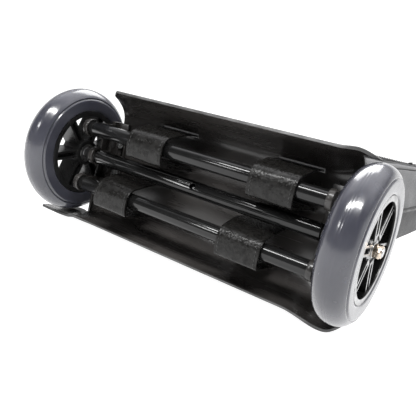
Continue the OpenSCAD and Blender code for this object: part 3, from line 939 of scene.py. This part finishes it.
def sagged(x, y, z):
    """A bag point moved by the slack of the cloth between its seams."""
    middle_y = (BAG_Y[0] + BAG_Y[1]) / 2
    along = 1 - abs(y - middle_y) / (BAG_Y[1] - middle_y)
    height = (z - BAG_Z[0]) / (BAG_Z[1] - BAG_Z[0])
    slack = math.sin(math.pi * min(max(height, 0), 1)) * smooth(along * 5)
    fold = noise.noise(Vector((y * 0.012, z * 0.05, 3.1 + math.copysign(2, x))))
    crease = noise.noise(Vector((y * 0.034, z * 0.085, 9.4 + math.copysign(4, x))))
    side = smooth((abs(x) - 140) / 20)
    push = side * slack * (-2.4 + 4.4 * fold + 2.0 * crease)
    dip = 0
    if height > 0.9:
        dip = -(1.4 + 1.2 * fold) * smooth(along * 4) * smooth((BAG_X - abs(x)) / 20)
    return x + math.copysign(push, x), y, z + dip


def bag_stations():
    """Places along the bag. Its ends are rounded, and the door's ends fall on two of them."""
    low, high = BAG_Y
    ends = [0, 1.2, 4, 8, BAG_CORNER]
    middle = [low + BAG_CORNER + k * (DOOR_Y[0] - low - BAG_CORNER) / 2 for k in (1, 2)]
    door = [DOOR_Y[0] + k * (DOOR_Y[1] - DOOR_Y[0]) / 34 for k in range(1, 35)]
    rest = [DOOR_Y[1] + k * (high - BAG_CORNER - DOOR_Y[1]) / 3 for k in (1, 2)]
    return [low + e for e in ends] + middle + door + rest + [high - e for e in reversed(ends)]


def bag_shrink(y):
    """How far the section draws in at the rounded ends of the bag."""
    near = min(y - BAG_Y[0], BAG_Y[1] - y)
    gap = max(BAG_CORNER - near, 0)
    return BAG_CORNER - math.sqrt(max(BAG_CORNER * BAG_CORNER - gap * gap, 0))


def make_bag():
    """The carrier's body: one sagging shell with the door's opening left out."""
    ring = bag_ring()
    stations = bag_stations()
    centre_z = sum(BAG_Z) / 2
    vertices = []
    for y in stations:
        drawn = bag_shrink(y)
        for x, z in ring:
            scale_x = (BAG_X - drawn) / BAG_X
            scale_z = (centre_z - BAG_Z[0] - drawn) / (centre_z - BAG_Z[0])
            vertices.append(bag_point(*sagged(x * scale_x, y, centre_z + (z - centre_z) * scale_z)))
    columns = len(ring)
    faces = []
    for face in grid_faces(len(stations), columns, wrap_columns=True):
        middle = sum((vertices[v] for v in face), Vector()) / 4
        y = (middle.y - AXLE.y) / MM
        over = middle.z / MM > BAG_Z[1] - 6
        if not (over and abs(middle.x) < DOOR_X * MM and DOOR_Y[0] < y < DOOR_Y[1]):
            faces.append(face)
    for row, y in ((0, BAG_Y[0]), (len(stations) - 1, BAG_Y[1])):
        base = row * columns
        rings = [base]
        for share in (0.8, 0.55, 0.25):
            start = len(vertices)
            rings.append(start)
            for k in range(columns):
                point = vertices[base + k]
                middle = bag_point(0, y, centre_z)
                bulge = 2.6 * (1 - share * share) * (1 if row else -1)
                vertices.append(middle.lerp(point, share) + Vector((0, 0.25 * bulge * MM, 0)))
        for a, b in zip(rings, rings[1:]):
            faces += [(a + k, a + (k + 1) % columns, b + (k + 1) % columns, b + k)
                      for k in range(columns)]
        faces.append(tuple(rings[-1] + k for k in range(columns)))
    bag = new_piece("carrier_bag", vertices, faces, "fabric_grey", "chassis")
    bag.data.materials.append(MATERIALS["fabric_black"])
    for face in bag.data.polygons:
        low_band = face.center.z < (BAG_Z[0] + LOW_BAND) * MM
        face.material_index = 1 if low_band or abs(face.normal.y) > 0.8 else 0
    fix_normals(bag)
    add_thickness(bag, 0.0016, -1)
    add_smoothing(bag)
    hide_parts("carrier_back", "carrier_front", "carrier_side_left", "carrier_side_right",
                "carrier_base_end", "carrier_top_end")


def rounded_loop(half_x, low_y, high_y, z, radius, steps=8):
    """A closed loop with rounded corners, level with the door."""
    loop = []
    corners = ((1, high_y, 0), (-1, high_y, 90), (-1, low_y, 180), (1, low_y, 270))
    for sign, y, start in corners:
        cx = sign * (half_x - radius)
        cy = y - radius if y == high_y else y + radius
        for k in range(steps + 1):
            a = math.radians(start + 90 * k / steps)
            loop.append(bag_point(cx + radius * math.cos(a), cy + radius * math.sin(a), z))
    return loop


def densified(loop, step=0.01, closed=True):
    """A path with more points, about one step apart."""
    path = []
    pairs = zip(loop, loop[1:] + loop[:1]) if closed else zip(loop, loop[1:])
    for a, b in pairs:
        count = max(1, round((b - a).length / step))
        path += [a.lerp(b, k / count) for k in range(count)]
    if not closed:
        path.append(loop[-1])
    return path


def make_bag_piping():
    """Piping along the bag's long seams and round its two ends."""
    inset = 3.5
    centre_z = sum(BAG_Z) / 2
    half_z = (BAG_Z[1] - BAG_Z[0]) / 2
    for side, label in ((-1, "left"), (1, "right")):
        for z, level in ((BAG_Z[0] + 7, "low"), (BAG_Z[1] - 4, "high")):
            path = []
            for k in range(60):
                y = BAG_Y[0] + 9 + k * (BAG_Y[1] - BAG_Y[0] - 18) / 59
                x, y, lifted = sagged(side * (BAG_X - 3.2 if level == "high" else BAG_X - 4.5), y, z)
                path.append(bag_point(x, y, lifted))
            cord = tube_along(f"piping_{level}_{label}", path, 0.0021, "piping", "chassis")
    for y, label in ((BAG_Y[0] + 4, "base"), (BAG_Y[1] - 4, "top")):
        path = []
        for x, z in bag_ring():
            drawn_z = centre_z + (z - centre_z) * (half_z - inset) / half_z
            path.append(bag_point(x * (BAG_X - inset) / BAG_X, y, drawn_z))
        cord = tube_along(f"piping_end_{label}", path, 0.0021, "piping", "chassis", closed=True)


def flank_edge(y):
    """The height of a side panel's lower edge at a place along the bag."""
    return 124 - 22 * smooth((y - 60) / 150)


def make_flank(side):
    """The outer panel on a side of the bag: it hangs from the top seam to a piped, sloped edge."""
    label = "left" if side < 0 else "right"
    rows, columns = 12, 70
    low_y, high_y = BAG_Y[0] + 6, BAG_Y[1] - 14

    def at(share_y, share_z, off):
        """A point of the panel, at shares of its length and drop, lifted off the bag."""
        y = low_y + (high_y - low_y) * share_y
        z = BAG_Z[1] - 5 + (flank_edge(y) - BAG_Z[1] + 5) * share_z
        x, y, z = sagged(side * BAG_X, y, z)
        fold = noise.noise(Vector((y * 0.02, share_z * 2.4, 5 + side)))
        swing = noise.noise(Vector((y * 0.045, share_z * 1.1, 15 + side)))
        return bag_point(x + side * (off + share_z * (1.6 + 1.4 * fold + 0.8 * swing)), y, z)

    def row_at(share_z, off):
        """A row of the panel's points from end to end."""
        return [at(c / columns, share_z, off) for c in range(columns + 1)]

    vertices = [point for r in range(rows + 1) for point in row_at(r / rows, 1.3)]
    faces = grid_faces(rows + 1, columns + 1)
    panel = new_piece(f"flank_{label}", vertices, faces, "fabric_grey", "chassis")
    fix_normals(panel)
    add_thickness(panel, 0.0011)
    add_smoothing(panel)
    edge = tube_along(f"flank_piping_{label}", row_at(1, 1.6), 0.0022, "piping", "chassis")
    seam = stitches(f"flank_stitch_{label}", row_at(0.93, 2.2), "chassis")


# -------------------- door, zip and cushion
def make_door():
    """The mesh door: netting stretched in a bound, stitched edge."""
    rows, columns = 40, 28
    half, low, high = DOOR_X - 5, DOOR_Y[0] + 5, DOOR_Y[1] - 5

    def height(x, y):
        """The height of the netting, which sags a little in its middle."""
        across = 1 - (x / half) ** 2
        along = 1 - ((2 * y - low - high) / (high - low)) ** 2
        return 156.6 - 1.1 * across * along + 0.35 * noise.noise(Vector((x * 0.02, y * 0.02, 1)))

    vertices = []
    for r in range(rows + 1):
        for c in range(columns + 1):
            x = half * (2 * c / columns - 1)
            y = low + (high - low) * r / rows
            vertices.append(bag_point(x, y, height(x, y)))
    net = new_piece("door_net", vertices, grid_faces(rows + 1, columns + 1), "door_mesh", "door")
    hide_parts("door_panel")
    loop = densified(rounded_loop(DOOR_X - 4.5, DOOR_Y[0] + 3.5, DOOR_Y[1] - 4.5, 157, 16))
    binding = level_band("door_binding", loop, 9, 2.4, "fabric_black", "door", closed=True)
    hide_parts("door_panel")
    seam_loop = densified(rounded_loop(DOOR_X - 7, DOOR_Y[0] + 6, DOOR_Y[1] - 7, 158.4, 14))
    seam = stitches("door_stitch", seam_loop, "door")


def make_zip():
    """A zip tape with teeth on the bag's front, and a pull on the slider."""
    whole = densified(rounded_loop(DOOR_X + 6.5, DOOR_Y[0] - 1, DOOR_Y[1] + 6, 159.2, 20), 0.006)
    loop = [p for p in whole if p.y > AXLE.y + (DOOR_Y[0] + 4) * MM]
    middle_y = AXLE.y + 0.25
    loop.sort(key=lambda p: math.atan2(p.x, middle_y - p.y))
    tape = level_band("zip_tape", loop, 15, 1.3, "fabric_black", "chassis")
    teeth = stitches("zip_teeth", loop, "chassis", (0, 0, 0.0009),
                     length=0.0016, gap=0.0013, radius=0.0011)
    teeth.data.materials[0] = MATERIALS["black_matte"]
    low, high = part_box("zip_slider")
    middle = (low + high) / 2
    pull = [middle + Vector((0, along, rise))
            for along, rise in ((-0.006, 0.0008), (-0.018, 0.0006), (-0.03, -0.0002))]
    tag = tube_along("zip_pull", densified(pull, 0.002, closed=False), 0.0016, "rubber", "zip_slider")


def make_cushion():
    """The padded insert on the base board, swollen by a cloth simulation."""
    low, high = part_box("base_cushion")
    inset = 0.006
    low = low + Vector((inset, 0.0015, inset))
    high = high - Vector((inset, 0.006, inset))
    corners = [Vector((x, y, z))
               for x in (low.x, high.x) for y in (low.y, high.y) for z in (low.z, high.z)]
    pad = new_piece("padded_insert", corners, BOX_FACES, "cushion", "chassis")
    fix_normals(pad)
    remesh = pad.modifiers.new("remesh", "REMESH")
    remesh.mode = "VOXEL"
    remesh.voxel_size = 0.005
    apply_modifiers(pad)
    swell(pad, low, high)
    add_smoothing(pad)
    pad.data.shade_smooth()
    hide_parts("base_cushion")


def swell(pad, low, high, cap=0.006, frames=20):
    """Inflates the pad as cloth, keeping its sewn edge in place and its back flat."""
    rest = [v.co.copy() for v in pad.data.vertices]
    cloth = pad.modifiers.new("cloth", "CLOTH")
    settings = cloth.settings
    settings.use_pressure = True
    settings.uniform_pressure_force = 4
    settings.effector_weights.gravity = 0
    settings.quality = 5
    seam = pad.vertex_groups.new(name="seam")
    for v in pad.data.vertices:
        near = min(v.co.x - low.x, high.x - v.co.x, v.co.z - low.z, high.z - v.co.z)
        back = v.co.y - low.y < 0.002
        if near < 0.004 or back:
            seam.add([v.index], 1.0, "REPLACE")
    settings.vertex_group_mass = "seam"
    cloth.point_cache.frame_start = 1
    cloth.point_cache.frame_end = frames
    for step in range(1, frames + 1):
        bpy.context.scene.frame_set(step)
    apply_modifiers(pad)
    bpy.context.scene.frame_set(1)
    for v, start in zip(pad.data.vertices, rest):
        move = v.co - start
        if move.length > cap:
            v.co = start + move * (cap / move.length)
    pad.vertex_groups.clear()


def make_carry_strap():
    """The webbing handle at the top end of the carrier."""
    half, height = 55, 107.5
    path = []
    for k in range(41):
        u = -1 + k / 20
        rise = 17 * (1 - abs(u) ** 2.6)
        path.append(bag_point(half * u, 485.2 + rise, height))
    sides = 12
    profile = band_profile(0.025, 0.0022, sides, 0.25)
    vertices = [point + Vector((0, t, w)) for point in path for w, t in profile]
    belt = sleeve("carry_webbing", vertices, sides, "webbing", "chassis")
    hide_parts("carry_strap")
    for side in (-1, 1):
        label = "left" if side < 0 else "right"
        patch = [bag_point(side * half + dx, 486.6, height + dz)
                 for dx, dz in ((-7, -9), (7, -9), (7, 9), (-7, 9), (-7, -9), (7, 9))]
        row = stitches(f"carry_stitch_{label}", patch, "chassis")


# -------------------- the whole scene
make_camera()
make_stage()
finish_cad_nodes()
for wheel_side in (-1, 1):
    paint_rim_glint(wheel_side)
    make_tyre(wheel_side)
make_shell()
for strap_index, strap_name in enumerate(("strap_upper_left", "strap_upper_right",
                                          "strap_lower_left", "strap_lower_right")):
    make_strap(strap_index, strap_name)
make_bag()
make_bag_piping()
for flank_side in (-1, 1):
    make_flank(flank_side)
make_door()
make_zip()
make_cushion()
make_carry_strap()
